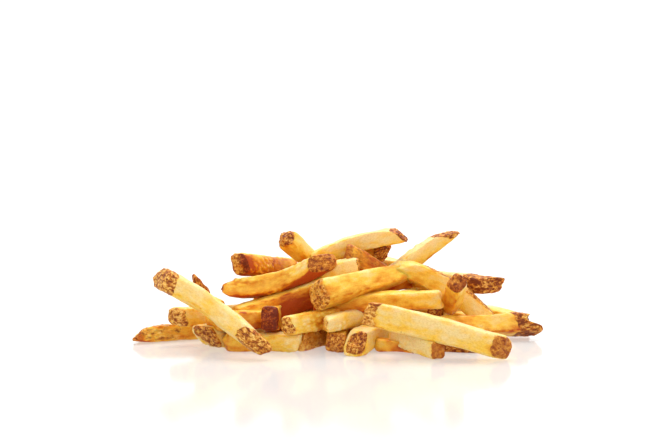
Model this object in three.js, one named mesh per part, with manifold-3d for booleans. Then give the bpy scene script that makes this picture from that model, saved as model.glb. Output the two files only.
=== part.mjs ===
// A portion of skin-on french fries lying in a loose heap, as one fused body.
// Millimetres, +Z up, heap centred on X and Y, resting on Z = 0. The front of the heap faces -Y.
import * as THREE from "three";
import { mergeVertices } from "three/addons/utils/BufferGeometryUtils.js";
import Module from "manifold-3d";

const wasm = await Module();
wasm.setup();

// Sizes shared by every fry
const COMMON_WIDTH = 8.5; // a potato stick cut at three eighths of an inch, after frying
const COMMON_HEIGHT = 8.5;
const CORNER_SHARE = 0.18; // how much of the section its worn long edges take
const END_SCALE = 0.88; // the worn rim of a cut end
const STATIONS = [0, 0.03, 0.33, 0.67, 0.97, 1]; // places along a fry that carry a section

// Unevenness drawn once for each fry
const SEED = 4119;
const SIDE_BOW = 1.1;
const UP_BOW = 0.5;
const CUT_SLANT = 0.3;

// The mound that the fries lie over
const CORE_CENTRE = [2, 8];
const CORE_FOOT = [44, 30];
const CORE_CROWN = [24, 14];
const CORE_HEIGHT = 15;
const CORE_SIDES = 10;

const MERGE_DISTANCE = 0.001;
const CLEANING_PASSES = 3;
const TABLE_CUT = 400; // side of the block that trims the heap flat where it meets the table

// Each row: name, centre of one end, centre of the other, width, height, roll in degrees,
// bow (sideways, upward), slant of the first cut, slant of the second cut, size of the second end.
const FRIES = [
  // front left
  ["front_left_cross", [-77, -22, 31], [-33, -50.5, 6.1], 10.6, 10.3, 35, [1, 1.6], [-1, 0.3], [-1, 0.3], 0.86],
  ["behind_cross", [-61, 0, 24.8], [-60.5, 2.5, 5.5], 7.5, 7.5, 15, [0, 0], [-0.8, -0.3]],
  ["left_second", [-72, -20, 13], [-34, -6, 12.5], 8, 8.5, 0, [0, 0], [-0.4, 0]],
  ["left_tip", [-88.4, -14, 3.9], [-55, -3, 3.9], 8.5, 7.8, 10, [0, 0], [0.2, -1.3]],
  ["left_foot", [-57.4, -30.4, 6.2], [-34, -7.4, 4.9], 11.5, 11, 8, [0, 0], [-0.35, 0.75], [0, 0], 0.8],
  ["left_front_floor", [-48, -30, 4.1], [-17, -32, 4.1], 8.5, 8.5],
  ["under_cross", [-55, -30, 12.8], [-26, -22, 12.6], 8.5, 8.5],
  // front middle
  ["middle_block", [-29, -34, 15], [-27, 6, 10], 8.5, 11],
  ["middle_left_end", [-21, -39, 12.8], [6, -14, 13], 8, 8.5, 8],
  ["middle_pale_end", [-5, -40, 13.4], [13, -12, 12], 8.2, 8, 0, [0, 0], [0.6, 0]],
  ["middle_floor_left", [-17, -31, 4.2], [-2, -8, 4.2], 9, 9],
  ["middle_floor_right", [-0.5, -37, 4.8], [3, 0, 4.2], 9, 9.2],
  ["middle_right_end", [8, -41, 5.4], [22, -15, 8], 10.5, 10.5, 0, [0, 0], [0.2, -0.6], [0, 0], 0.85],
  ["middle_right_floor", [18, -31, 2.8], [41, -38, 2.7], 7.5, 5.6],
  // front right
  ["right_under_cross", [25, -30, 8.6], [43, -51, 4.4], 8, 8.5, 0, [0, 0], [0, 0], [-0.4, 0]],
  ["front_right_cross", [13, -42, 18.6], [70, -52, 5.8], 11, 11.2, 12, [0, 0.8], [0, 0], [-1.05, 0]],
  ["right_floor_wedge", [42, -30, 3], [60, -33.5, 2.8], 6.5, 6, 0, [0, 0], [0, 0], [0, -1]],
  ["right_split_end", [46, -14, 7.6], [88.4, -5, 6.6], 9.5, 9, 30, [0, 0], [0, 0], [0.6, -0.45]],
  ["right_lean", [51, -6, 15], [52, -33, 30.4], 7.5, 7.5, 45],
  ["right_pale", [-10, -17, 18.4], [45.5, -22, 21], 8.5, 8.6],
  ["centre_wide", [-8, -30, 24.5], [30, -3, 29.5], 13, 13, 38, [0, 0], [0, 0], [0.7, 0], 0.62],
  ["right_arch", [27, -5, 33], [68, 0, 7.4], 8.5, 9.5, 0, [0, 3.4], [0, -1.1]],
  ["right_back_patch", [36, 14, 24], [71, 5, 22.4], 8, 8, 0, [0, 0], [0, 0], [-1.2, 0]],
  // top
  ["top_right_point", [23, 3.3, 25.8], [51, 10, 46], 8, 7.5, 0, [0, 0], [0, 0], [0, -1.5]],
  ["top_short", [5, -3, 38.8], [22, -6, 29], 8.5, 8.5, 14],
  ["top_tongue", [-2, 22, 28], [21, 7, 36.5], 8, 8, 0, [0, 0], [0, 0], [-0.6, 0.5]],
  ["top_bowed", [-10, 8, 33], [29, 4, 46], 8, 8.5, 0, [0, 2], [0, 0], [-0.25, -0.7]],
  ["left_long", [-51, -12, 24], [-6, -14, 36.5], 10, 10, 25, [0, -3.2], [0, -0.7], [-1.8, 0], 0.76],
  ["left_back_end", [-43, -13, 35.6], [-21, 30, 26], 8.5, 9.6, 12],
  ["top_left_rise", [-23.4, 0, 45.6], [-5, 20, 24], 8.8, 8.8, 20],
  ["shaded_left", [-43, -20, 12], [-5, -12, 24], 9, 12],
  ["shaded_inner", [-36, 2, 18], [8, 6, 25], 8.5, 9],
  // back, on the table
  ["back_floor_1", [-58, 16, 4.1], [-18, 28, 4.1], 8.5, 8.5],
  ["back_floor_2", [-45, 36, 4.1], [-2, 49, 4.1], 9, 8.5],
  ["back_floor_3", [-12, 31, 4.1], [31, 35, 4.1]],
  ["back_floor_4", [8, 49, 4.1], [52, 43, 4.1], 8.5, 8.5],
  ["back_floor_5", [34, 30, 4.1], [68, 10, 4.1], 8, 8.5],
  ["back_floor_6", [-71, 8, 4.1], [-58, 46, 4.1], 8.5, 8.5, 0, [0, 0], [0, 0], [0.8, 0]],
  ["back_floor_7", [56, 46, 4.1], [85, 11, 4.1], 9, 8.5, 0, [0, 0], [0.9, 0]],
  // back, second layer
  ["back_second_1", [-66, 35, 12.2], [-54, 3, 12.2]],
  ["back_second_2", [-36, 42, 12.4], [-26, 4, 12.4], 8, 8.5],
  ["back_second_3", [-16, 54, 12.4], [-10, 14, 12.4], 8.5, 8.5, 0, [0, 0], [0.6, 0]],
  ["back_second_4", [16, 54, 12.4], [9, 14, 12.4], 9, 8.5],
  ["back_second_5", [46, 52, 12.4], [27, 12, 12.4], 8.5, 8.5, 0, [0, 0], [-0.7, 0]],
  ["back_second_6", [56, 34, 12.2], [44, -8, 12.2], 8, 8.5],
  // back, third layer
  ["back_third_1", [-46, 12, 20.2], [-6, 25, 20.6], 8.5, 8.5],
  ["back_third_2", [-3, 35, 20.6], [30, 27, 20.6], 8.5, 8.5],
  ["back_third_3", [-34, 36, 20.4], [2, 48, 20.6], 8.5, 8],
  ["back_third_4", [20, 47, 20.6], [50, 20, 20.4], 8, 8.5],
  // back, top layer
  ["back_top_1", [-7, 40, 28], [19, 22, 28.4], 8.5, 8.5, 20],
  ["back_top_2", [15, 38, 28.6], [36, 14, 26.6], 8, 8.5],
  // inside, seen through the gaps
  ["inner_floor", [36, -22.5, 4.1], [64, -24, 4.1], 10, 8.5],
  ["inner_top_1", [-18, 22, 24], [14, 10, 27], 8, 8.5],
  ["inner_top_2", [8, -2, 23], [34, 18, 23], 8.5, 8],
  ["inner_top_3", [-27, -6, 24.5], [9, -8, 34.4], 8.5, 7.6],
];

let seed = SEED;
function draw() {
  seed = (seed * 16807) % 2147483647;
  return (2 * seed) / 2147483647 - 1;
}

// The eight corners of a fry's section, going round clockwise from its lower left.
function section(wide, high) {
  const x = wide / 2;
  const y = high / 2;
  const worn = CORNER_SHARE * Math.min(wide, high);
  return [
    [-x + worn, -y], [-x, -y + worn], [-x, y - worn], [-x + worn, y],
    [x - worn, y], [x, y - worn], [x, -y + worn], [x - worn, -y],
  ];
}

// A closed solid from rings of points that follow one another along it, outward faces.
function solidFromRings(rings) {
  const count = rings[0].length;
  const positions = rings.flat().flatMap((p) => [p.x, p.y, p.z]);
  const faces = [];
  for (let i = 0; i + 1 < rings.length; i++) {
    for (let j = 0; j < count; j++) {
      const a = i * count + j;
      const b = i * count + ((j + 1) % count);
      faces.push(a, b, b + count, a, b + count, a + count);
    }
  }
  const last = (rings.length - 1) * count;
  for (let j = 1; j + 1 < count; j++) {
    faces.push(0, j + 1, j);
    faces.push(last, last + j, last + j + 1);
  }
  const geometry = new THREE.BufferGeometry();
  geometry.setAttribute("position", new THREE.Float32BufferAttribute(positions, 3));
  geometry.setIndex(faces);
  return solidFromGeometry(geometry);
}

function solidFromGeometry(source) {
  const geometry = source.clone();
  geometry.deleteAttribute("normal");
  geometry.deleteAttribute("uv");
  const merged = mergeVertices(geometry);
  return new wasm.Manifold(
    new wasm.Mesh({
      numProp: 3,
      vertProperties: new Float32Array(merged.attributes.position.array),
      triVerts: new Uint32Array(merged.index.array),
    }),
  );
}

function frySolid(row) {
  const [, a, b, wide = COMMON_WIDTH, high = COMMON_HEIGHT, roll = 0] = row;
  const [bow = [0, 0], cutA = [0, 0], cutB = [0, 0], taper = 1] = row.slice(6);
  const bowSide = bow[0] + SIDE_BOW * draw();
  const bowUp = bow[1] + UP_BOW * draw();
  const slantA = [cutA[0] + CUT_SLANT * draw(), cutA[1] + CUT_SLANT * draw()];
  const slantB = [cutB[0] + CUT_SLANT * draw(), cutB[1] + CUT_SLANT * draw()];
  const start = new THREE.Vector3(...a);
  const along = new THREE.Vector3(...b).sub(start);
  const direction = along.clone().normalize();
  const side = new THREE.Vector3().crossVectors(direction, new THREE.Vector3(0, 0, 1)).normalize();
  const up = new THREE.Vector3().crossVectors(side, direction);
  const turn = THREE.MathUtils.degToRad(roll);
  const u = side.clone().multiplyScalar(Math.cos(turn)).addScaledVector(up, Math.sin(turn));
  const v = up.clone().multiplyScalar(Math.cos(turn)).addScaledVector(side, -Math.sin(turn));
  const corners = section(wide, high);
  const rings = STATIONS.map((t, i) => {
    const worn = i === 0 || i === STATIONS.length - 1 ? END_SCALE : 1;
    const scale = worn * (1 + (taper - 1) * t);
    const arch = 4 * t * (1 - t);
    return corners.map(([x, y]) => {
      const shiftA = -(x * slantA[0] + y * slantA[1]) * scale * (1 - t) ** 2;
      const shiftB = (x * slantB[0] + y * slantB[1]) * scale * t ** 2;
      return start.clone()
        .addScaledVector(along, t)
        .addScaledVector(direction, shiftA + shiftB)
        .addScaledVector(u, x * scale + arch * bowSide)
        .addScaledVector(v, y * scale + arch * bowUp);
    });
  });
  return solidFromRings(rings);
}

function coreSolid() {
  const levels = [
    [0, CORE_FOOT],
    [CORE_HEIGHT, CORE_CROWN],
  ];
  const rings = levels.map(([z, [rx, ry]]) =>
    Array.from({ length: CORE_SIDES }, (_, j) => {
      const angle = (2 * Math.PI * j) / CORE_SIDES;
      return new THREE.Vector3(
        CORE_CENTRE[0] + rx * Math.cos(angle),
        CORE_CENTRE[1] + ry * Math.sin(angle),
        z,
      );
    }),
  );
  return solidFromRings(rings);
}

const above = new THREE.BoxGeometry(TABLE_CUT, TABLE_CUT, TABLE_CUT);
above.translate(0, 0, TABLE_CUT / 2);

let heap = coreSolid();
for (const row of FRIES) heap = heap.add(frySolid(row));
heap = heap.intersect(solidFromGeometry(above));

// The outer body alone: hollows that fusing sealed come out filled, loose scraps are dropped.
function outerBody(solid) {
  const bodies = solid.decompose();
  bodies.sort((p, q) => q.volume() - p.volume());
  return bodies[0];
}

function geometryFromSolid(solid) {
  const mesh = solid.getMesh();
  const made = new THREE.BufferGeometry();
  made.setAttribute("position", new THREE.Float32BufferAttribute(mesh.vertProperties, 3));
  made.setIndex(new THREE.BufferAttribute(mesh.triVerts, 1));
  return made;
}

heap = outerBody(heap);
// Merging close corners can pinch off another sealed hollow, so the outer body is taken again.
for (let pass = 0; pass < CLEANING_PASSES; pass++) {
  heap = outerBody(solidFromGeometry(mergeVertices(geometryFromSolid(heap), MERGE_DISTANCE)));
}

const geometry = geometryFromSolid(heap);
geometry.computeVertexNormals();

const fries = new THREE.Mesh(
  geometry,
  new THREE.MeshStandardMaterial({ color: 0xe0a34a, roughness: 0.6, metalness: 0, flatShading: true }),
);
fries.name = "fries";

const portion = new THREE.Group();
portion.name = "french_fries_portion";
portion.add(fries);

export default portion;
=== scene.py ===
import math

import bpy
import numpy as np
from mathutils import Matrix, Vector


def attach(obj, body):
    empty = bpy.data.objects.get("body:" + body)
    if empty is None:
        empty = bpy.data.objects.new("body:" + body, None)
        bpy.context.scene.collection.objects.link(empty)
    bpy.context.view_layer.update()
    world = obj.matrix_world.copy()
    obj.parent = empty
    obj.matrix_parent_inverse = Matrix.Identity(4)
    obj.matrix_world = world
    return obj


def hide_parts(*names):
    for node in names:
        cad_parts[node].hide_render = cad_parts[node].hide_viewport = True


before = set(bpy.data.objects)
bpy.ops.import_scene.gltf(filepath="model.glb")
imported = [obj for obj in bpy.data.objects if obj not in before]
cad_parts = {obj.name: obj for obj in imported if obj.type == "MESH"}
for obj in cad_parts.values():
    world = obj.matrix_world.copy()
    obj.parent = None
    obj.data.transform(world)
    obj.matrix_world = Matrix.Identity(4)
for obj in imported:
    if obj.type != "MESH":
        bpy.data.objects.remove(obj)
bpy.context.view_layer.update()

MM = 0.001

# Shared by every fry, as in the part's source, with lengths in millimetres
COMMON_WIDTH = 8.5
COMMON_HEIGHT = 8.5
END_SCALE = 0.88
SEED = 4119
SIDE_BOW = 1.1  # the most that a fry's drawn bow adds, sideways and upward
UP_BOW = 0.5
CUT_SLANT = 0.3  # the most that a cut's drawn slant adds, as length over width

# The mound under the fries, half to one millimetre smaller than the part's own
CORE_CENTRE = (2.0, 8.0)
CORE_FOOT = (43.0, 29.0)
CORE_CROWN = (23.0, 13.0)
CORE_HEIGHT = 14.5
# Its deep tone is painted shade, for the dark seen through the gaps between the fries
CORE_PAINTED_SHADE_TONE = 0.75

# Fineness of the visible mesh
AROUND = 64  # points round a fry
STEP = 0.5  # millimetres between the rings along it
CAP_RINGS = 9  # rings on each cut face
RIM_RINGS = 3  # rings on its rounded rim
CORE_AROUND = 90
CORE_LEVELS = 20
CELL_MARGIN = 0.004  # free border of each unwrapped strip, as a share of the sheet

# Unevenness that only the visible mesh has, with lengths in millimetres
ROUNDED_LENGTH = 1.3  # how far the rim of a cut rounds over
CAP_BULGE = 0.7
CORNER_POWER = 6.0  # how square the section is along a fry
END_POWER = 3.6  # and at its ends
TWIST = math.radians(6.0)
SIDE_SWAY = 0.5
UP_SWAY = 0.4
LENGTHWISE = 0.55  # below 1, so that patches and lumps are longer than they are wide
NOISE_SPREAD = 300.0  # sets the fries far apart in the noise, so that no two are alike
FINISH_SEED = 4196

# Heights of the relief, in millimetres
SUNK_FACES = 0.22
WAVY_EDGES = 0.22
BLISTERS = 0.5
PITTED_CUTS = 0.4
TORN_CUTS = 0.9
CRUST_CRUMBS = 0.38
CRUST_BASE = -0.16
CRUST_SWELL = 0.22

# Layers of noise, each with its frequency to a millimetre, its shift and its height in millimetres
FRY_LUMPS = ((0.12, 3, 0.42), (0.31, 7, 0.24), (0.8, 5, 0.12))
RAGGED_BORDER = ((0.28, 0, 1.3), (0.7, 11, 0.8))
CORE_LUMPS = ((0.13, 0, 0.9), (0.4, 0, 0.5))

# Colours of fried potato, linear
PALE = (0.91, 0.685, 0.3)
GOLD = (0.93, 0.575, 0.07)
DEEP = (0.74, 0.26, 0.012)
BROWNED = (0.46, 0.07, 0.01)
SPECK = (0.42, 0.14, 0.03)
SKIN_LIGHT = (0.92, 0.6, 0.16)
SKIN_TAN = (0.68, 0.29, 0.035)
SKIN_RED = (0.43, 0.115, 0.012)
SKIN_DARK = (0.19, 0.035, 0.006)
BURNT = (0.85, 0.45, 0.45)  # multiplies the colour of the darkest skins
PAINTED_SHADE_BELOW = 0.12  # how much deeper the tone is made towards the underside and paler towards the top: painted shade below, painted light above
STREAK_STRETCH = (1.0, 1.0, 0.2)  # draws the streaks of the flesh out along the fry

# The surface, glossy and faintly glowing so that shadows on it stay pale, with its side in metres
FLOOR_SIDE = 1.5
FLOOR_COLOUR = (0.42, 0.41, 0.39, 1)
FLOOR_GLOW = (1.0, 0.99, 0.97, 1)
FLOOR_GLOW_STRENGTH = 0.4

# The studio: how bright it is in front and behind, and its lamps by name, place, size and power
STUDIO_FRONT = 0.5
STUDIO_BACK = 1.08
STUDIO_BLEND = 0.7  # how far towards the front and the back it blends from one to the other
LAMP_AIM = (0, 0, 0.02)
LAMPS = (
    ("top_back", (0.05, 0.3, 0.75), (0.7, 0.5), 6.2),
    ("front_left", (-0.6, -0.7, 0.5), (0.5, 0.5), 2.2),
    ("front_right", (0.5, -0.7, 0.5), (0.4, 0.4), 2.2),
)

# The photograph's view: ten degrees above the table, from far off
CAMERA_DISTANCE = 900 * MM
CAMERA_RISE = math.radians(10.0)
CAMERA_TARGET_HEIGHT = 25 * MM
FOCAL_PIXELS = 2000.0
FRAME_WIDTH = 660.0
FRAME_CENTRE = (330.0, 220.0)
TARGET_PIXEL = (336.5, 282.0)
SENSOR = 36.0

# What each point of a piece tells the material
POINT_VALUES = ("skin", "edge", "crumb", "bubble", "tone", "dark", "flecked")

# Which sockets of a mix node carry its two colours and the mixed one
MIX_FIRST = 6
MIX_SECOND = 7
MIX_RESULT = 2

# What a row leaves out: width, height, roll, bow, two slants and the size of the second end
ROW_DEFAULTS = [None, None, COMMON_WIDTH, COMMON_HEIGHT, 0, [0, 0], [0, 0], [0, 0], 1]

# Each row: name, centre of one end, centre of the other, width, height, roll in degrees,
# bow (sideways, upward), slant of the first cut, slant of the second cut, size of the second end.
FRIES = {
    "fries_front_left": [
        ["front_left_cross", [-77, -22, 31], [-33, -50.5, 6.1], 10.6, 10.3, 35, [1, 1.6],
         [-1, 0.3], [-1, 0.3], 0.86],
        ["behind_cross", [-61, 0, 24.8], [-60.5, 2.5, 5.5], 7.5, 7.5, 15, [0, 0], [-0.8, -0.3]],
        ["left_second", [-72, -20, 13], [-34, -6, 12.5], 8, 8.5, 0, [0, 0], [-0.4, 0]],
        ["left_tip", [-88.4, -14, 3.9], [-55, -3, 3.9], 8.5, 7.8, 10, [0, 0], [0.2, -1.3]],
        ["left_foot", [-57.4, -30.4, 6.2], [-34, -7.4, 4.9], 11.5, 11, 8, [0, 0],
         [-0.35, 0.75], [0, 0], 0.8],
        ["left_front_floor", [-48, -30, 4.1], [-17, -32, 4.1], 8.5, 8.5],
        ["under_cross", [-55, -30, 12.8], [-26, -22, 12.6], 8.5, 8.5],
    ],
    "fries_front_middle": [
        ["middle_block", [-29, -34, 15], [-27, 6, 10], 8.5, 11],
        ["middle_left_end", [-21, -39, 12.8], [6, -14, 13], 8, 8.5, 8],
        ["middle_pale_end", [-5, -40, 13.4], [13, -12, 12], 8.2, 8, 0, [0, 0], [0.6, 0]],
        ["middle_floor_left", [-17, -31, 4.2], [-2, -8, 4.2], 9, 9],
        ["middle_floor_right", [-0.5, -37, 4.8], [3, 0, 4.2], 9, 9.2],
        ["middle_right_end", [8, -41, 5.4], [22, -15, 8], 10.5, 10.5, 0, [0, 0], [0.2, -0.6], [0, 0], 0.85],
        ["middle_right_floor", [18, -31, 2.8], [41, -38, 2.7], 7.5, 5.6],
    ],
    "fries_front_right": [
        ["right_under_cross", [25, -30, 8.6], [43, -51, 4.4], 8, 8.5, 0, [0, 0], [0, 0], [-0.4, 0]],
        ["front_right_cross", [13, -42, 18.6], [70, -52, 5.8], 11, 11.2, 12, [0, 0.8], [0, 0], [-1.05, 0]],
        ["right_floor_wedge", [42, -30, 3], [60, -33.5, 2.8], 6.5, 6, 0, [0, 0], [0, 0], [0, -1]],
        ["right_split_end", [46, -14, 7.6], [88.4, -5, 6.6], 9.5, 9, 30, [0, 0], [0, 0], [0.6, -0.45]],
        ["right_lean", [51, -6, 15], [52, -33, 30.4], 7.5, 7.5, 45],
        ["right_pale", [-10, -17, 18.4], [45.5, -22, 21], 8.5, 8.6],
        ["centre_wide", [-8, -30, 24.5], [30, -3, 29.5], 13, 13, 38, [0, 0], [0, 0], [0.7, 0], 0.62],
        ["right_arch", [27, -5, 33], [68, 0, 7.4], 8.5, 9.5, 0, [0, 3.4], [0, -1.1]],
        ["right_back_patch", [36, 14, 24], [71, 5, 22.4], 8, 8, 0, [0, 0], [0, 0], [-1.2, 0]],
    ],
    "fries_top": [
        ["top_right_point", [23, 3.3, 25.8], [51, 10, 46], 8, 7.5, 0, [0, 0], [0, 0], [0, -1.5]],
        ["top_short", [5, -3, 38.8], [22, -6, 29], 8.5, 8.5, 14],
        ["top_tongue", [-2, 22, 28], [21, 7, 36.5], 8, 8, 0, [0, 0], [0, 0], [-0.6, 0.5]],
        ["top_bowed", [-10, 8, 33], [29, 4, 46], 8, 8.5, 0, [0, 2], [0, 0], [-0.25, -0.7]],
        ["left_long", [-51, -12, 24], [-6, -14, 36.5], 10, 10, 25, [0, -3.2], [0, -0.7], [-1.8, 0], 0.76],
        ["left_back_end", [-43, -13, 35.6], [-21, 30, 26], 8.5, 9.6, 12],
        ["top_left_rise", [-23.4, 0, 45.6], [-5, 20, 24], 8.8, 8.8, 20],
        ["shaded_left", [-43, -20, 12], [-5, -12, 24], 9, 12],
        ["shaded_inner", [-36, 2, 18], [8, 6, 25], 8.5, 9],
    ],
    "fries_back_floor": [
        ["back_floor_1", [-58, 16, 4.1], [-18, 28, 4.1], 8.5, 8.5],
        ["back_floor_2", [-45, 36, 4.1], [-2, 49, 4.1], 9, 8.5],
        ["back_floor_3", [-12, 31, 4.1], [31, 35, 4.1]],
        ["back_floor_4", [8, 49, 4.1], [52, 43, 4.1], 8.5, 8.5],
        ["back_floor_5", [34, 30, 4.1], [68, 10, 4.1], 8, 8.5],
        ["back_floor_6", [-71, 8, 4.1], [-58, 46, 4.1], 8.5, 8.5, 0, [0, 0], [0, 0], [0.8, 0]],
        ["back_floor_7", [56, 46, 4.1], [85, 11, 4.1], 9, 8.5, 0, [0, 0], [0.9, 0]],
    ],
    "fries_back": [
        ["back_second_1", [-66, 35, 12.2], [-54, 3, 12.2]],
        ["back_second_2", [-36, 42, 12.4], [-26, 4, 12.4], 8, 8.5],
        ["back_second_3", [-16, 54, 12.4], [-10, 14, 12.4], 8.5, 8.5, 0, [0, 0], [0.6, 0]],
        ["back_second_4", [16, 54, 12.4], [9, 14, 12.4], 9, 8.5],
        ["back_second_5", [46, 52, 12.4], [27, 12, 12.4], 8.5, 8.5, 0, [0, 0], [-0.7, 0]],
        ["back_second_6", [56, 34, 12.2], [44, -8, 12.2], 8, 8.5],
        ["back_third_1", [-46, 12, 20.2], [-6, 25, 20.6], 8.5, 8.5],
        ["back_third_2", [-3, 35, 20.6], [30, 27, 20.6], 8.5, 8.5],
        ["back_third_3", [-34, 36, 20.4], [2, 48, 20.6], 8.5, 8],
        ["back_third_4", [20, 47, 20.6], [50, 20, 20.4], 8, 8.5],
        ["back_top_1", [-7, 40, 28], [19, 22, 28.4], 8.5, 8.5, 20],
        ["back_top_2", [15, 38, 28.6], [36, 14, 26.6], 8, 8.5],
    ],
    "fries_inside": [
        ["inner_floor", [36, -22.5, 4.1], [64, -24, 4.1], 10, 8.5],
        ["inner_top_1", [-18, 22, 24], [14, 10, 27], 8, 8.5],
        ["inner_top_2", [8, -2, 23], [34, 18, 23], 8.5, 8],
        ["inner_top_3", [-27, -6, 24.5], [9, -8, 34.4], 8.5, 7.6],
    ],
}

# How each fry that shows is finished. Lengths are in millimetres, the two ends are the first and the second,
# and the right side is the one on the right as seen from the first end.
# tone: 0 pale to 1 deep, one value or one for each end; partly the fry's own browning, partly painted shade
# where it lies in shadow. top, under: the same for that face alone, paler on top as painted light and deeper
# underneath as painted shade.
# a, b: how far the browned skin of the first and the second end reaches along the fry. Below 0 a pale rim
# stays round it. lean_a, lean_b: how much further it reaches on the right side and on top.
# cover: how closed the skin of the ends is, one value or one for each end.
# dark: how dark the skin is, one value or one for each end. shade: how much darker on the right side.
# faces: sides that carry skin, right or top, each with the start and the end of its stretch as shares of
# the length, and with how closed it is.
# smooth_skin: 0 flecked skin to 1 plain skin, one value or one for each end.
# corner: how square the section is. bubbly: more blisters, or fewer below 0.
# nose_a, nose_b: an end that narrows over a length to a share of its size.
# notch: a bite in the second end, with its place across, its width and its depth.
LOOKS = {
    "front_left_cross": dict(tone=(0.2, 0.0), a=6.5, b=6, dark=0.36, lean_a=(0, -2.5),
                             corner=3.4, cover=(1, 0.9), nose_b=(9, 0.72)),
    "behind_cross": dict(tone=0.3, a=3.5, dark=0.55, faces=[("right", 0, 0.8, 1)], smooth_skin=0.3),
    "left_second": dict(tone=(0.24, 0.45), a=2.6, dark=0.22, cover=0.85, nose_a=(5, 0.7)),
    "left_tip": dict(tone=(0.55, 0.3), a=1.6, dark=(0.4, 0.0), nose_a=(12, 0.7),
                     faces=[("right", 0, 0.85, 0.46), ("top", 0, 0.7, 0.85)]),
    "left_foot": dict(tone=0.12, a=0.5, dark=0.42, lean_a=(1.6, 0.4)),
    "left_front_floor": dict(tone=(0.6, 0.15), corner=4),
    "under_cross": dict(tone=0.6),
    "middle_block": dict(tone=0.6, a=0.8, dark=0.9, shade=0.3, cover=1.2, smooth_skin=0.3),
    "middle_left_end": dict(tone=(0.35, 0.65), a=-0.5, dark=0.25, corner=4.5),
    "middle_pale_end": dict(tone=(0.08, 0.35), a=0.5, dark=0.1, cover=0.6, corner=3.4, nose_a=(5, 0.7)),
    "middle_floor_left": dict(tone=0.6, a=2, dark=0.0, faces=[("right", 0, 1, 0.55)], cover=0.8,
                              smooth_skin=0.4),
    "middle_floor_right": dict(tone=0.7, a=1.5, dark=0.4, smooth_skin=0.35),
    "middle_right_end": dict(tone=(0.2, 0.4), a=-0.8, dark=0.5, lean_a=(2.5, 1)),
    "middle_right_floor": dict(tone=0.65),
    "right_under_cross": dict(tone=0.12, b=0.2, dark=0.5, smooth_skin=0.85),
    "front_right_cross": dict(tone=(0.2, 0.15), a=6, b=0.3, dark=(0.12, 0.5), corner=4.5,
                              cover=(0.68, 1.1), smooth_skin=(0, 0.6), nose_b=(8, 0.84),
                              faces=[("top", 0.8, 1, 0.36)]),
    "right_floor_wedge": dict(tone=0.6, a=4, b=5, dark=0.6, faces=[("right", 0, 1, 1)]),
    "right_split_end": dict(tone=(0.5, 0.42), b=10, dark=0.6, notch=(0.1, 0.2, 6.5)),
    "right_lean": dict(tone=(0.55, 0.25), b=0.6, dark=0.75, shade=-0.3, cover=1.2, smooth_skin=0.5),
    "right_pale": dict(tone=(0.8, 0.32), corner=4, bubbly=-0.6),
    "centre_wide": dict(tone=(0.36, 0.5), bubbly=-0.4, a=1, dark=0.3, cover=0.62, corner=4.5),
    "right_arch": dict(tone=(0.35, 0.15), faces=[("top", 0.18, 1, 0.92)], dark=0.3),
    "right_back_patch": dict(tone=0.25, b=1, dark=0.6, corner=3.8,
                             faces=[("right", 0.64, 1, 1.1), ("top", 0.64, 1, 1.1)]),
    "top_right_point": dict(tone=(0.35, 0.1), b=3, dark=0.55, nose_b=(6, 0.75)),
    "top_short": dict(tone=(0.45, 0.55), a=2, b=4, dark=0.5, smooth_skin=0.6,
                      faces=[("right", 0, 1, 0.56), ("top", 0, 1, 0.6)]),
    "top_tongue": dict(tone=0.55, b=3, dark=0.6),
    "top_bowed": dict(tone=(0.3, 0.14), b=0.4, dark=0.75, cover=1.2),
    "left_long": dict(tone=(0.55, 0.5), a=0.7, b=0.8, dark=0.55, corner=3.4, bubbly=0.6, under=1.0,
                      smooth_skin=(0, 0.4), nose_a=(13, 0.15)),
    "left_back_end": dict(tone=(0.9, 0.7), top=0.4, under=1.0, a=0.8, bubbly=0.5, dark=0.35, shade=0.65,
                          smooth_skin=0.3, corner=3.2, nose_a=(3, 0.75)),
    "top_left_rise": dict(tone=0.4, a=1.6, dark=0.5, shade=0.2, corner=3.6, bubbly=0.4, nose_a=(4, 0.65)),
    # shaded_left and shaded_inner lie in shadow inside the heap: their deep tone is painted shade, their
    # paler top painted light
    "shaded_left": dict(tone=(0.4, 1.2), top=0.4),
    "shaded_inner": dict(tone=(1.15, 1.2), top=0.8),
    "back_second_1": dict(tone=0.5, a=2, dark=0.5),
    "inner_floor": dict(tone=0.6),
    "inner_top_1": dict(tone=0.5),
    "inner_top_2": dict(tone=0.7),
    "inner_top_3": dict(tone=(0.6, 0.05), b=0.3, dark=0.3),
}

# The same for a fry that the photo doesn't show, drawn evenly: the least value and the reach above it
UNSEEN_LOOK = dict(tone=(0.1, 0.4), a=(-1.2, 6), b=(-1.2, 7), dark=(0.3, 0.4))


def draws(seed):
    """Even draws from -1 to 1, the same each run."""
    while True:
        seed = (seed * 16807) % 2147483647
        yield 2 * seed / 2147483647 - 1


def smooth(low, high, x):
    """A soft step from 0 at low to 1 at high."""
    t = np.clip((x - low) / (high - low), 0, 1)
    return t * t * (3 - 2 * t)


def lattice(cell):
    """A fixed pseudo-random value from -1 to 1 for each whole-number point."""
    h = (cell[..., 0] * 374761393 + cell[..., 1] * 668265263 + cell[..., 2] * 1442695041) & 0xFFFFFFFF
    h = ((h ^ (h >> 13)) * 1274126177) & 0xFFFFFFFF
    return ((h ^ (h >> 16)) & 0xFFFF) / 32767.5 - 1


def noise(p):
    """Smooth noise from -1 to 1 at points p, one feature to a unit."""
    cell = np.floor(p).astype(np.int64)
    f = p - cell
    f = f * f * (3 - 2 * f)
    total = 0
    for corner in np.ndindex(2, 2, 2):
        weight = np.prod(np.where(corner, f, 1 - f), axis=-1)
        total = total + weight * lattice(cell + np.array(corner))
    return total


def layered(p, layers):
    """The sum of several layers of noise at points p."""
    return sum(height * noise(p * frequency + shift) for frequency, shift, height in layers)


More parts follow.
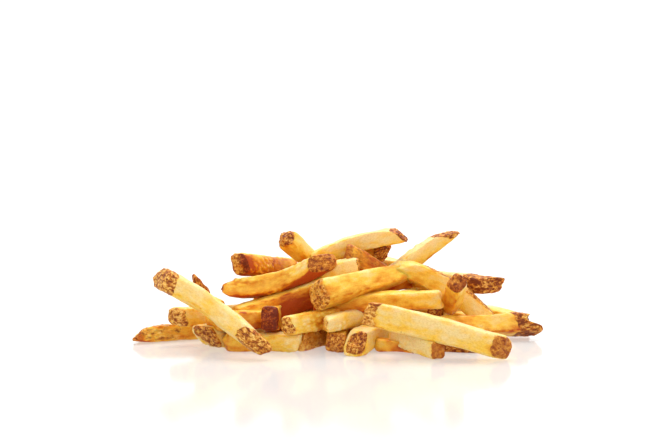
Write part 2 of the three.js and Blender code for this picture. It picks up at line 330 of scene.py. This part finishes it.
def crumbs(p):
    """Domes of about one unit across, packed side by side: 1 at the middle of each, 0 in the creases."""
    cell = np.floor(p).astype(np.int64)
    nearest = np.full(p.shape[:-1], 9.0)
    for step in np.ndindex(3, 3, 3):
        corner = cell + np.array(step) - 1
        scatter = np.stack([lattice(corner), lattice(corner + 71), lattice(corner + 163)], -1)
        middle = corner + 0.5 + 0.42 * scatter
        nearest = np.minimum(nearest, np.linalg.norm(p - middle, axis=-1))
    return np.clip(1 - nearest * 1.15, 0, 1)


def grid_normals(points):
    """Outward normals of a grid of rings whose two ends are small."""
    across = np.roll(points, -1, axis=1) - np.roll(points, 1, axis=1)
    along = np.gradient(points, axis=0)
    n = np.cross(across, along)
    return n / (np.linalg.norm(n, axis=-1, keepdims=True) + 1e-9)


def read_row(row, draw):
    """A row of the table with its defaults, and the unevenness drawn for it, as in the part's source."""
    a, b, wide, high, roll, bow, cut_a, cut_b, taper = row[1:] + ROW_DEFAULTS[len(row) - 1:]
    bow = (bow[0] + SIDE_BOW * next(draw), bow[1] + UP_BOW * next(draw))
    cut_a = (cut_a[0] + CUT_SLANT * next(draw), cut_a[1] + CUT_SLANT * next(draw))
    cut_b = (cut_b[0] + CUT_SLANT * next(draw), cut_b[1] + CUT_SLANT * next(draw))
    return np.array(a, float), np.array(b, float), wide, high, math.radians(roll), bow, cut_a, cut_b, taper


def stations(length):
    """Where the rings of a fry lie: distance from the first cut, size, and 1 on the two cut faces."""
    inner = (np.arange(CAP_RINGS) + 0.6) / (CAP_RINGS + 0.1)
    rim = np.linspace(0, 1, RIM_RINGS + 1)[1:]
    rim_size = END_SCALE + (1 - END_SCALE) * np.sqrt(1 - (1 - rim) ** 2)
    count = max(8, int(round((length - 2 * ROUNDED_LENGTH) / STEP)))
    body = np.linspace(ROUNDED_LENGTH, length - ROUNDED_LENGTH, count)[1:-1]
    bulge = CAP_BULGE * (1 - inner**2)
    distance = np.concatenate([
        -bulge, rim * ROUNDED_LENGTH, body, length - rim[::-1] * ROUNDED_LENGTH, length + bulge[::-1],
    ])
    size = np.concatenate([
        END_SCALE * inner, rim_size, np.ones(len(body)), rim_size[::-1], END_SCALE * inner[::-1],
    ])
    cap = np.concatenate([np.ones(CAP_RINGS), np.zeros(len(distance) - 2 * CAP_RINGS), np.ones(CAP_RINGS)])
    return distance, size, cap


def pair(value):
    """Two values for the two ends, from a pair or from one number that holds for both."""
    return value if isinstance(value, tuple) else (value, value)


def skin_mask(look, length, distance, size, cap, share_x, share_y, place):
    """How surely each point is browned skin, from 0 to 1, with a border about two millimetres wide."""
    covers = pair(look.get("cover", 1))
    ragged = layered(place, RAGGED_BORDER)
    skin = np.zeros_like(ragged)
    for key, depth, cover in (("a", distance, covers[0]), ("b", length - distance, covers[1])):
        if key not in look:
            continue
        reach = look[key]
        lean_x, lean_y = look.get("lean_" + key, (0, 0))
        lean = (lean_x * share_x + lean_y * share_y) * size
        if reach > 0:
            level = depth - reach - lean + ragged * min(1, reach / 3)
            end = 1 - smooth(-1.1, 1.1, level)
        else:
            rim = END_SCALE * (1 + reach / 6)
            off_centre = size * (1 - 0.1 * lean) + 0.05 * ragged
            end = cap * (depth < 1) * (1 - smooth(rim - 0.12, rim + 0.1, off_centre))
        skin = np.maximum(skin, end * cover)
    shares = {"right": share_x, "top": share_y}
    t = distance / length
    for face, start, stop, cover in look.get("faces", []):
        turned = smooth(0.72, 0.98, shares[face] + 0.07 * ragged)
        begins = smooth(start - 0.05, start + 0.05, t + 0.03 * ragged) if start > 0 else 1
        ends = 1 - smooth(stop - 0.05, stop + 0.05, t + 0.03 * ragged) if stop < 1 else 1
        skin = np.maximum(skin, turned * begins * ends * cover)
    return skin


def fry_grid(row, look, draw, offset):
    """One fry as rings of points, in millimetres, from the middle of one cut to that of the other."""
    a, b, wide, high, roll, bow, cut_a, cut_b, taper = read_row(row, draw)
    length = np.linalg.norm(b - a)
    direction = (b - a) / length
    side = np.cross(direction, (0, 0, 1))
    side /= np.linalg.norm(side)
    up = np.cross(side, direction)
    distance, size, cap = (values[:, None] for values in stations(length))
    t = np.clip(distance / length, 0, 1)
    near_end = np.minimum(distance, length - distance)

    # The section: a square with worn corners, softer in some stretches than in others
    angle = -(np.arange(AROUND) + 0.5) / AROUND * 2 * math.pi
    cos, sin = np.cos(angle)[None, :], np.sin(angle)[None, :]
    line = np.concatenate([0 * distance, 0 * distance, distance], -1)[:, None, :] + offset
    power = look.get("corner", CORNER_POWER) * (1 + 0.3 * noise(line * 0.09 + 41))
    power = END_POWER + (power - END_POWER) * smooth(0, 5, near_end)
    spread = (np.abs(cos) ** power + np.abs(sin) ** power) ** (-1 / power)
    share_x, share_y = spread * cos, spread * sin
    edge = smooth(0.7, 0.97, np.minimum(np.abs(share_x), np.abs(share_y)))
    grow = size * (1 + (taper - 1) * t)
    for key, depth in (("nose_a", distance), ("nose_b", length - distance)):
        if key in look:
            reach, share = look[key]
            grow = grow * (share + (1 - share) * np.sqrt(1 - (1 - np.clip(depth / reach, 0, 1)) ** 2))
    x = grow * share_x * wide / 2 * (1 + 0.05 * noise(line * 0.06 + 5))
    y = grow * share_y * high / 2 * (1 + 0.05 * noise(line * 0.06 + 15))

    shift = -(x * cut_a[0] + y * cut_a[1]) * (1 - t) ** 2 + (x * cut_b[0] + y * cut_b[1]) * t**2
    if "notch" in look:
        centre, width, depth = look["notch"]
        shift = shift - depth * np.exp(-((y / high - centre) / width) ** 2) * t**12
    torn = TORN_CUTS * noise(np.stack([x, y, 0 * x + distance * 0.2], -1) * 0.33 + offset + 91)
    along = distance + shift + torn * (1 - smooth(0, 3, near_end))
    place = np.stack([x, y, along * LENGTHWISE], -1) + offset
    distance, size, cap = (column + 0 * x for column in (distance, size, cap))
    skin = skin_mask(look, length, distance, size, cap, share_x, share_y, place)

    # Relief, in millimetres: lumps, faces that sank while cooling, wavy edges, bubbles, crusty skin
    lumps = layered(place, FRY_LUMPS)
    sunk = (1 - edge) * (1 - cap) * (SUNK_FACES + SUNK_FACES * noise(line * 0.07 + 55))
    waves = edge * WAVY_EDGES * noise(place * 0.45 + 61)
    bubble = smooth(0.3, 0.8, crumbs(place * 0.6 + 29))
    bubble = bubble * smooth(0.3, 0.7, noise(place * 0.13 + 37) + look.get("bubbly", 0))
    crumb = crumbs(place * (1.0, 1.0, 1.3) + 17)
    crust = CRUST_CRUMBS * crumb + CRUST_BASE + CRUST_SWELL * noise(place * 0.9 + 23)
    pitted = cap * PITTED_CUTS * noise(place * 0.45 + 71)
    smooth_ends = pair(look.get("smooth_skin", 0))
    flecked = 1 - smooth_ends[0] - (smooth_ends[1] - smooth_ends[0]) * t + 0 * x
    relief = lumps - sunk + waves + pitted
    relief = relief + BLISTERS * bubble * (1 - np.minimum(skin, 1)) + skin * crust * flecked

    # A slow sway of the middle line and a slight twist keep it from being a perfect stick
    slow = line * 0.055
    turn = roll + TWIST * noise(slow + 81)
    u = side * np.cos(turn)[..., None] + up * np.sin(turn)[..., None]
    v = up * np.cos(turn)[..., None] - side * np.sin(turn)[..., None]
    arch = 4 * t * (1 - t)
    sideways = x + arch * (bow[0] + SIDE_SWAY * noise(slow + 1))
    upward = y + arch * (bow[1] + UP_SWAY * noise(slow + 9))
    points = a + direction * along[..., None] + u * sideways[..., None] + v * upward[..., None]
    points = points + grid_normals(points) * relief[..., None]
    points[..., 2] = np.maximum(points[..., 2], 0.03 + 0.02 * noise(place))
    tones, darks = pair(look["tone"]), pair(look.get("dark", 0.5))
    # Painted shade and light: the tone deepens towards the underside and pales towards the top
    tone = tones[0] + (tones[1] - tones[0]) * t - PAINTED_SHADE_BELOW * share_y
    # top and under: painted light on the top face and painted shade on the underside
    for key, share in (("top", share_y), ("under", -share_y)):
        tone = tone + (look.get(key, tone) - tone) * smooth(0.75, 0.95, share)
    rightward = look.get("shade", 0) * smooth(-0.3, 0.5, x / (wide / 2))
    values = {
        "skin": skin,
        "edge": edge * (1 - 0.5 * cap),
        "crumb": crumb,
        "bubble": bubble,
        "tone": tone,
        "dark": darks[0] + (darks[1] - darks[0]) * t + rightward,
        "flecked": flecked,
    }
    return points, place, values


def strip_cells(count):
    """Equal cells of the unit square, one for each unwrapped strip, with a margin round each."""
    columns = math.ceil(math.sqrt(count * 1.4))
    rows = math.ceil(count / columns)
    for n in range(count):
        left = (n % columns) / columns + CELL_MARGIN
        low = (n // columns) / rows + CELL_MARGIN
        yield left, low, 1 / columns - 2 * CELL_MARGIN, 1 / rows - 2 * CELL_MARGIN


class Piece:
    """Gathers closed grids of rings into one mesh object."""

    def __init__(self, name):
        self.name = name
        self.points, self.places, self.values = [], [], {}
        self.faces, self.uvs = [], []
        self.total = 0

    def add(self, grid, place, values, cell):
        """Joins one grid to the piece, with a fan of triangles over each end."""
        rings, count = grid.shape[:2]
        self.points += [grid.reshape(-1, 3), grid[0].mean(0)[None], grid[-1].mean(0)[None]]
        self.places += [place.reshape(-1, 3), place[0].mean(0)[None], place[-1].mean(0)[None]]
        for key, value in values.items():
            self.values.setdefault(key, []).extend([value.reshape(-1), [value[0].mean(), value[-1].mean()]])

        i, j = np.meshgrid(np.arange(rings - 1), np.arange(count), indexing="ij")
        k = (j + 1) % count
        low = self.total + i * count
        high = low + count
        self.faces += np.stack([low + j, low + k, high + k, high + j], -1).reshape(-1, 4).tolist()
        first = self.total + rings * count
        last_ring = first - count
        j = np.arange(count)
        k = (j + 1) % count
        self.faces += np.stack([np.full(count, first), self.total + k, self.total + j], -1).tolist()
        self.faces += np.stack([np.full(count, first + 1), last_ring + j, last_ring + k], -1).tolist()
        self.total += rings * count + 2
        self.uvs += self.unwrapped(grid, cell)

    def unwrapped(self, grid, cell):
        """The sheet coordinates of each face's corners: round the fry runs across, along it upward."""
        left, low, width, height = cell
        rings, count = grid.shape[:2]
        steps = np.linalg.norm(np.diff(grid[:, 0], axis=0), axis=-1)
        path = np.concatenate([[1.0], 1.0 + np.cumsum(steps)])
        across = left + width * np.arange(count + 1) / count
        upward = low + height * path / (path[-1] + 1.0)
        i, j = np.meshgrid(np.arange(rings - 1), np.arange(count), indexing="ij")
        corners = ((j, i), (j + 1, i), (j + 1, i + 1), (j, i + 1))
        quads = np.stack([np.stack([across[c], upward[r]], -1) for c, r in corners], -2)
        j = np.arange(count)
        middle = (across[j] + across[j + 1]) / 2
        head = [(middle, low), (across[j + 1], upward[0]), (across[j], upward[0])]
        tail = [(middle, low + height), (across[j], upward[-1]), (across[j + 1], upward[-1])]
        fans = [np.stack([np.stack([c, c * 0 + r], -1) for c, r in fan], -2) for fan in (head, tail)]
        return [quads.reshape(-1, 2), fans[0].reshape(-1, 2), fans[1].reshape(-1, 2)]

    def build(self, material):
        """Makes the mesh object, with its sheet coordinates, its point values and its material."""
        mesh = bpy.data.meshes.new(self.name)
        mesh.from_pydata((np.concatenate(self.points) * MM).tolist(), [], self.faces)
        layer = mesh.uv_layers.new(name="OFBake")
        layer.uv.foreach_set("vector", np.concatenate(self.uvs).astype(np.float32).ravel())
        for key, parts in self.values.items():
            attribute = mesh.attributes.new(key, "FLOAT", "POINT")
            attribute.data.foreach_set("value", np.concatenate(parts).astype(np.float32))
        attribute = mesh.attributes.new("place", "FLOAT_VECTOR", "POINT")
        attribute.data.foreach_set("vector", np.concatenate(self.places).astype(np.float32).ravel())
        mesh.polygons.foreach_set("use_smooth", [True] * len(mesh.polygons))
        mesh.materials.append(material)
        mesh.update()
        thing = bpy.data.objects.new(self.name, mesh)
        bpy.context.collection.objects.link(thing)
        return thing


class Nodes:
    """Short calls for building a material's node tree."""

    def __init__(self, name):
        self.material = bpy.data.materials.new(name)
        self.material.use_nodes = True
        self.tree = self.material.node_tree
        self.shader = self.tree.nodes["Principled BSDF"]

    def set(self, **values):
        for key, value in values.items():
            self.shader.inputs[key.replace("_", " ")].default_value = value

    def add(self, kind, **settings):
        node = self.tree.nodes.new(kind)
        for key, value in settings.items():
            setattr(node, key, value)
        return node

    def link(self, source, target):
        self.tree.links.new(source, target)

    def feed(self, value, socket):
        """Links a node's output to a socket, or sets a plain value on it."""
        if isinstance(value, bpy.types.NodeSocket):
            self.link(value, socket)
        elif isinstance(value, tuple):
            socket.default_value = (*value, 1)
        else:
            socket.default_value = value

    def attribute(self, name, output="Fac"):
        return self.add("ShaderNodeAttribute", attribute_name=name).outputs[output]

    def noise(self, vector, scale, detail=3.0, roughness=0.55, distortion=0.0):
        node = self.add("ShaderNodeTexNoise")
        node.inputs["Scale"].default_value = scale
        node.inputs["Detail"].default_value = detail
        node.inputs["Roughness"].default_value = roughness
        node.inputs["Distortion"].default_value = distortion
        self.link(vector, node.inputs["Vector"])
        return node.outputs["Fac"]

    def math(self, operation, a, b):
        node = self.add("ShaderNodeMath", operation=operation)
        self.feed(a, node.inputs[0])
        self.feed(b, node.inputs[1])
        return node.outputs[0]

    def sum(self, *terms):
        """Adds up (value, weight) pairs and plain numbers."""
        total = None
        for term in terms:
            part = self.math("MULTIPLY", *term) if isinstance(term, tuple) else term
            total = part if total is None else self.math("ADD", total, part)
        return total

    def span(self, value, low, high, to_low=0.0, to_high=1.0):
        node = self.add("ShaderNodeMapRange", interpolation_type="SMOOTHSTEP")
        self.link(value, node.inputs["Value"])
        for key, number in (("From Min", low), ("From Max", high), ("To Min", to_low), ("To Max", to_high)):
            node.inputs[key].default_value = number
        return node.outputs["Result"]

    def ramp(self, value, *stops):
        node = self.add("ShaderNodeValToRGB")
        band = node.color_ramp
        while len(band.elements) < len(stops):
            band.elements.new(0.5)
        for element, (position, colour) in zip(band.elements, stops):
            element.position = position
            element.color = (*colour, 1)
        self.link(value, node.inputs["Fac"])
        return node.outputs["Color"]

    def mix(self, factor, a, b, blend="MIX"):
        node = self.add("ShaderNodeMix", data_type="RGBA", blend_type=blend)
        self.feed(factor, node.inputs["Factor"])
        self.feed(a, node.inputs[MIX_FIRST])
        self.feed(b, node.inputs[MIX_SECOND])
        return node.outputs[MIX_RESULT]


def flesh_colour(n, place, value, middle, fine):
    """Pale to deep by the fry's tone, clouded and streaked, browner near the skin and in stretches along the
    edges; paler elsewhere along the edges as a painted highlight, and paler on the blisters, partly their
    own colour and partly painted highlight.
    """
    skin, edge = value["skin"], value["edge"]
    stretch = n.add("ShaderNodeVectorMath", operation="MULTIPLY")
    n.link(place, stretch.inputs[0])
    stretch.inputs[1].default_value = STREAK_STRETCH
    wide = n.noise(place, 0.16, 2.0)
    streaks = n.noise(stretch.outputs[0], 0.6, 3.0, 0.6)
    clouds = n.sum((wide, 1.25), (middle, 0.65), (streaks, 0.3), -1.08)
    browned = n.math("MULTIPLY", edge, n.span(middle, 0.42, 0.62, 0.0, 0.5))
    # Painted highlight: the edges, and in part the blisters, are made paler
    depth = n.sum(clouds, value["tone"], browned, (edge, -0.1), (value["bubble"], -0.34), (skin, 0.3))
    flesh = n.ramp(depth, (0.0, PALE), (0.4, GOLD), (0.75, DEEP), (1.0, BROWNED))
    grain = n.ramp(fine, (0.3, (0.84, 0.76, 0.62)), (0.55, (1.0, 1.0, 1.0)), (0.75, (1.06, 1.1, 1.2)))
    flesh = n.mix(0.8, flesh, grain, "MULTIPLY")
    specked = n.sum((edge, 0.6), (skin, 0.5), 0.25)
    speck = n.math("MULTIPLY", n.span(n.noise(place, 1.2, 2.0), 0.64, 0.74), specked)
    return n.mix(speck, flesh, SPECK)


def skin_colour(n, place, value, middle, flecks):
    """Tan wrinkles and flecks over patches of red-brown, dark in the creases; the tan of the raised flecks,
    crumbs and ridges is partly painted highlight, and the dark in the creases partly painted shade.
    """
    swirl = n.noise(place, 0.5, 3.0, 0.55, 1.2)
    wrinkle = n.span(n.math("ABSOLUTE", n.sum(swirl, -0.5), 0.0), 0.0, 0.07, 1.0, 0.0)
    # The crumbs' domes and the flecks are raised, so their tan is partly painted highlight and the creases
    # between them partly painted shade
    texture = n.sum((wrinkle, 0.36), (n.span(flecks, 0.36, 0.64), 0.54), (value["crumb"], 0.1), -0.42)
    flecked = n.math("MULTIPLY", texture, value["flecked"])
    level = n.sum(flecked, (middle, 0.75), (value["dark"], -0.5), 0.28)
    crust = n.ramp(level, (0.12, SKIN_DARK), (0.36, SKIN_RED), (0.6, SKIN_TAN), (0.95, SKIN_LIGHT))
    return n.mix(n.span(value["dark"], 0.65, 0.95, 0.0, 0.8), crust, BURNT, "MULTIPLY")


def potato_material():
    """Fried potato: flesh, and browned skin where a piece's points say so, with an uneven border."""
    n = Nodes("fried_potato")
    place = n.attribute("place", "Vector")
    value = {key: n.attribute(key) for key in POINT_VALUES}
    middle = n.noise(place, 0.5, 3.0)
    fine = n.noise(place, 2.2, 4.0, 0.65)
    flecks = n.noise(place, 0.8, 4.0, 0.62)
    flesh = flesh_colour(n, place, value, middle, fine)
    crust = skin_colour(n, place, value, middle, flecks)
    border = n.sum(value["skin"], (middle, -0.9), (fine, -0.25), 0.575)
    covered = n.math("MULTIPLY", n.span(border, 0.38, 0.64), n.span(value["skin"], 0.04, 0.2))
    n.link(n.mix(covered, flesh, crust), n.shader.inputs["Base Color"])

    n.link(n.sum(n.span(fine, 0.3, 0.7, 0.27, 0.43), (covered, 0.1)), n.shader.inputs["Roughness"])
    n.set(
        Subsurface_Weight=0.55, Subsurface_Radius=(1.0, 0.6, 0.25), Subsurface_Scale=0.0018,
        Specular_IOR_Level=0.18,
    )
    bump = n.add("ShaderNodeBump")
    bump.inputs["Strength"].default_value = 0.6
    bump.inputs["Distance"].default_value = 0.0003
    n.link(n.sum((fine, 0.6), (n.math("MULTIPLY", flecks, covered), 1.4)), bump.inputs["Height"])
    n.link(bump.outputs["Normal"], n.shader.inputs["Normal"])
    return n.material


def random_look(extra):
    """A finish for a fry that the photo doesn't show, in the range of those it does."""
    return {key: least + reach * (0.5 + 0.5 * next(extra)) for key, (least, reach) in UNSEEN_LOOK.items()}


def build_fries(material):
    """One piece for each group of fries."""
    draw = draws(SEED)
    extra = draws(FINISH_SEED)
    pieces = []
    for group, rows in FRIES.items():
        piece = Piece(group)
        for row, cell in zip(rows, strip_cells(len(rows))):
            offset = NOISE_SPREAD * np.array([next(extra), next(extra), next(extra)])
            spare = random_look(extra)
            points, place, values = fry_grid(row, LOOKS.get(row[0], spare), draw, offset)
            piece.add(points, place, values, cell)
        pieces.append(piece.build(material))
    return pieces


def build_core(material):
    """The low mound under the fries, lumpy, and deep in colour as painted shade seen through the gaps."""
    angle = np.arange(CORE_AROUND) / CORE_AROUND * 2 * math.pi
    t = np.linspace(0, 1, CORE_LEVELS)[:, None]
    foot, crown = np.array(CORE_FOOT), np.array(CORE_CROWN)
    radius = foot + (crown - foot) * t
    side = np.stack([
        CORE_CENTRE[0] + radius[:, :1] * np.cos(angle),
        CORE_CENTRE[1] + radius[:, 1:] * np.sin(angle),
        CORE_HEIGHT * t + 0 * angle,
    ], -1)
    inward = np.linspace(0.9, 0.08, CORE_LEVELS // 2)[:, None, None]
    under_middle = np.array([*CORE_CENTRE, 0.0])
    top_middle = np.array([*CORE_CENTRE, CORE_HEIGHT])
    under = under_middle + (side[0] - under_middle) * inward[::-1]
    top = top_middle + (side[-1] - top_middle) * inward
    grid = np.concatenate([under, side, top])
    lumps = layered(grid, CORE_LUMPS) * smooth(0, 3, grid[..., 2])
    grid = grid + grid_normals(grid) * lumps[..., None]
    grid[..., 2] = np.maximum(grid[..., 2], 0)
    flat = np.zeros(grid.shape[:2])
    values = {key: flat for key in POINT_VALUES}
    values["tone"] = flat + CORE_PAINTED_SHADE_TONE
    piece = Piece("heap_core")
    piece.add(grid, grid, values, next(strip_cells(1)))
    return piece.build(material)


def build_stage():
    """The bare surface that the heap lies on."""
    bpy.ops.mesh.primitive_plane_add(size=FLOOR_SIDE, location=(0, 0, 0))
    floor = bpy.context.object
    floor.name = "floor"
    n = Nodes("pale_floor")
    n.set(Base_Color=FLOOR_COLOUR, Roughness=0.12, Specular_IOR_Level=1.0)
    n.set(Emission_Color=FLOOR_GLOW, Emission_Strength=FLOOR_GLOW_STRENGTH)
    floor.data.materials.append(n.material)


def area_light(name, place, size, power):
    """A soft rectangular light aimed at the heap."""
    data = bpy.data.lights.new(name, "AREA")
    data.shape = "RECTANGLE"
    data.size, data.size_y = size
    data.energy = power
    light = bpy.data.objects.new(name, data)
    bpy.context.collection.objects.link(light)
    light.location = place
    light.rotation_euler = (Vector(LAMP_AIM) - light.location).to_track_quat("-Z", "Y").to_euler()


def build_light():
    """A white studio, bright behind and dimmer in front, with three lamps."""
    world = bpy.data.worlds.new("studio")
    bpy.context.scene.world = world
    world.use_nodes = True
    tree = world.node_tree
    back = tree.nodes["Background"]
    direction = tree.nodes.new("ShaderNodeTexCoord")
    parts = tree.nodes.new("ShaderNodeSeparateXYZ")
    shade = tree.nodes.new("ShaderNodeMapRange")
    shade.interpolation_type = "SMOOTHSTEP"
    shade.inputs["From Min"].default_value = -STUDIO_BLEND
    shade.inputs["From Max"].default_value = STUDIO_BLEND
    shade.inputs["To Min"].default_value = STUDIO_FRONT
    shade.inputs["To Max"].default_value = STUDIO_BACK
    tree.links.new(direction.outputs["Generated"], parts.inputs[0])
    tree.links.new(parts.outputs["Y"], shade.inputs["Value"])
    tree.links.new(shade.outputs["Result"], back.inputs["Strength"])
    back.inputs["Color"].default_value = (1, 1, 1, 1)
    for lamp in LAMPS:
        area_light(*lamp)


def build_camera():
    """A camera that sees the heap as the photograph does."""
    data = bpy.data.cameras.new("view")
    data.sensor_width = SENSOR
    data.lens = SENSOR * FOCAL_PIXELS / FRAME_WIDTH
    camera = bpy.data.objects.new("view", data)
    bpy.context.collection.objects.link(camera)
    sideways = -(TARGET_PIXEL[0] - FRAME_CENTRE[0]) * CAMERA_DISTANCE / FOCAL_PIXELS
    camera.location = (
        sideways,
        -CAMERA_DISTANCE * math.cos(CAMERA_RISE),
        CAMERA_TARGET_HEIGHT + CAMERA_DISTANCE * math.sin(CAMERA_RISE),
    )
    tilt = CAMERA_RISE - math.atan((TARGET_PIXEL[1] - FRAME_CENTRE[1]) / FOCAL_PIXELS)
    camera.rotation_euler = (math.pi / 2 - tilt, 0, 0)
    bpy.context.scene.camera = camera


build_camera()
build_light()
build_stage()
potato = potato_material()
for piece in build_fries(potato) + [build_core(potato)]:
    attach(piece, "root")
    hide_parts("fries")

bpy.context.scene.view_settings.view_transform = "Standard"
